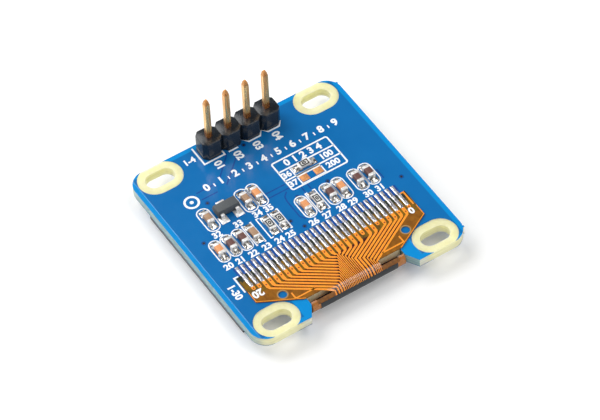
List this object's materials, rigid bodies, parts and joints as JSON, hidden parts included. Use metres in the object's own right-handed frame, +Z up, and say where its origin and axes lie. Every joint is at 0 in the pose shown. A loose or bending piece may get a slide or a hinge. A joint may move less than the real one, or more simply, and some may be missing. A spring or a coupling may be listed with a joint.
{
  "type": "small oled display module",
  "caption": "Small display panel taped under a circuit board, with a flex circuit folded through a notch, chip parts and a pin header.",
  "frame": {"origin": "on the table plane under the centre of the board, with the display lying face down", "axes": "+X along the header row, +Y from the flex circuit's fold towards the header, +Z up, along the header pins and away from the display's face"},
  "size_m": [0.0274, 0.0278, 0.0113],
  "materials": {
    "laminate": "satin",
    "solder_mask": "gloss",
    "silkscreen": "matt",
    "panel_glass": "polished",
    "cover_glass": "polished",
    "polarizer_film": "gloss",
    "foam": "matt",
    "silicon": "polished",
    "polyimide": "gloss",
    "flex_copper": "gloss",
    "tinned_copper": "bright",
    "black_film": "satin",
    "bare_copper": "satin",
    "solder": "bright",
    "black_plastic": "satin",
    "gold_plating": "bright",
    "moulded_epoxy": "satin",
    "tin_plating": "bright",
    "ceramic_tan": "satin",
    "ceramic_salmon": "satin",
    "ceramic_brown": "satin",
    "ceramic_white": "satin",
    "resistor_glaze": "gloss"
  },
  "bodies": {
    "root": {"pcb_laminate": "laminate", "solder_mask_front": "solder_mask", "solder_mask_back": "solder_mask", "display_glass": "panel_glass", "cover_glass": "cover_glass", "polarizer": "polarizer_film", "foam_tape": "foam", "driver_chip": "silicon", "flex_circuit": "polyimide", "flex_traces": "flex_copper", "flex_contacts": "tinned_copper", "flex_coverlay": "black_film", "connector_pads": "tinned_copper", "spare_pads": "bare_copper", "component_solder": "solder", "header_housing": "black_plastic", "header_solder": "solder", "header_pin_1": "gold_plating", "header_pin_2": "gold_plating", "header_pin_3": "gold_plating", "header_pin_4": "gold_plating", "regulator_body": "moulded_epoxy", "regulator_leads": "tin_plating", "capacitor_1": "ceramic_tan", "capacitor_2": "ceramic_tan", "capacitor_3": "ceramic_salmon", "capacitor_4": "ceramic_salmon", "capacitor_5": "ceramic_brown", "capacitor_6": "ceramic_brown", "capacitor_7": "ceramic_salmon", "capacitor_8": "ceramic_brown", "capacitor_9": "ceramic_salmon", "capacitor_10": "ceramic_brown", "capacitor_11": "ceramic_brown", "resistor_1": "ceramic_tan", "resistor_2": "ceramic_white", "resistor_3": "ceramic_white", "resistor_4": "ceramic_white", "resistor_5": "ceramic_white"}
  },
  "joints": []
}
